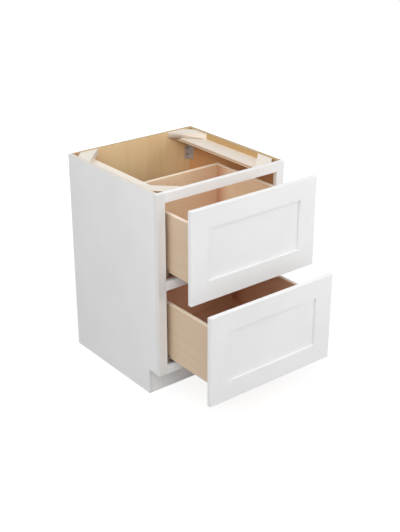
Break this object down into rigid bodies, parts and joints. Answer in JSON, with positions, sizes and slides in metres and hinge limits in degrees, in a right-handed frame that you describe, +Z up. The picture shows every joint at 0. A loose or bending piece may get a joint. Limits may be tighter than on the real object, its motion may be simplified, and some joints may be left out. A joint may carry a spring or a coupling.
{
  "type": "base cabinet with drawers",
  "caption": "White face-frame kitchen base cabinet with deep shaker-front dovetailed drawers on concealed full-extension slides, open top with corner blocks, and a toe kick.",
  "frame": {"origin": "on the floor, at the middle of the plan that the cabinet and its open drawers cover", "axes": "+Z up, +Y towards the wall (the drawers open towards -Y), +X to the right seen from the front"},
  "size_m": [0.6302, 0.9174, 0.8763],
  "materials": {
    "white_paint": "satin white paint on board and solid wood",
    "birch_ply": "clear-coated birch plywood",
    "pale_ply": "raw pale plywood with bare layered edges",
    "maple": "clear satin lacquer on solid maple",
    "zinc_steel": "zinc-plated pressed steel",
    "grey_plastic": "moulded matte grey plastic"
  },
  "bodies": {
    "cabinet": {"left_side_panel": "white_paint", "right_side_panel": "white_paint", "back_panel": "birch_ply", "bottom_panel": "birch_ply", "toe_kick_board": "white_paint", "left_stile": "white_paint", "right_stile": "white_paint", "bottom_rail": "white_paint", "middle_rail": "white_paint", "top_rail": "white_paint", "left_stretcher": "pale_ply", "right_stretcher": "pale_ply", "front_left_corner_block": "pale_ply", "rear_left_corner_block": "pale_ply", "front_right_corner_block": "pale_ply", "rear_right_corner_block": "pale_ply", "rear_left_angle": "zinc_steel", "rear_right_angle": "zinc_steel", "upper_left_slide_cleat": "pale_ply", "upper_left_slide_track": "zinc_steel", "upper_right_slide_cleat": "pale_ply", "upper_right_slide_track": "zinc_steel", "lower_left_slide_cleat": "pale_ply", "lower_left_slide_track": "zinc_steel", "lower_right_slide_cleat": "pale_ply", "lower_right_slide_track": "zinc_steel"},
    "upper_drawer": {"upper_front_left_stile": "white_paint", "upper_front_right_stile": "white_paint", "upper_front_bottom_rail": "white_paint", "upper_front_top_rail": "white_paint", "upper_front_panel": "white_paint", "upper_box_left_side": "maple", "upper_box_right_side": "maple", "upper_box_front": "maple", "upper_box_back": "maple", "upper_box_bottom": "birch_ply", "upper_left_slide_carrier": "zinc_steel", "upper_left_locking_clip": "grey_plastic", "upper_right_slide_carrier": "zinc_steel", "upper_right_locking_clip": "grey_plastic"},
    "lower_drawer": {"lower_front_left_stile": "white_paint", "lower_front_right_stile": "white_paint", "lower_front_bottom_rail": "white_paint", "lower_front_top_rail": "white_paint", "lower_front_panel": "white_paint", "lower_box_left_side": "maple", "lower_box_right_side": "maple", "lower_box_front": "maple", "lower_box_back": "maple", "lower_box_bottom": "birch_ply", "lower_left_slide_carrier": "zinc_steel", "lower_left_locking_clip": "grey_plastic", "lower_right_slide_carrier": "zinc_steel", "lower_right_locking_clip": "grey_plastic"},
    "upper_carriages": {"upper_left_slide_carriage": "zinc_steel", "upper_right_slide_carriage": "zinc_steel"},
    "lower_carriages": {"lower_left_slide_carriage": "zinc_steel", "lower_right_slide_carriage": "zinc_steel"}
  },
  "joints": [
    {"name": "upper_drawer_slide", "type": "slide", "parent": "cabinet", "child": "upper_drawer", "axis": [0, -1, 0], "range_m": [-0.1733, 0.3267]},
    {"name": "upper_carriage_slide", "type": "slide", "parent": "cabinet", "child": "upper_carriages", "axis": [0, -1, 0], "range_m": [-0.08665, 0.16335]},
    {"name": "lower_drawer_slide", "type": "slide", "parent": "cabinet", "child": "lower_drawer", "axis": [0, -1, 0], "range_m": [-0.2868, 0.2132]},
    {"name": "lower_carriage_slide", "type": "slide", "parent": "cabinet", "child": "lower_carriages", "axis": [0, -1, 0], "range_m": [-0.1434, 0.1066]}
  ],
  "couplings": [
    {"joint": "upper_carriage_slide", "follows": "upper_drawer_slide", "ratio": 0.5},
    {"joint": "lower_carriage_slide", "follows": "lower_drawer_slide", "ratio": 0.5}
  ]
}
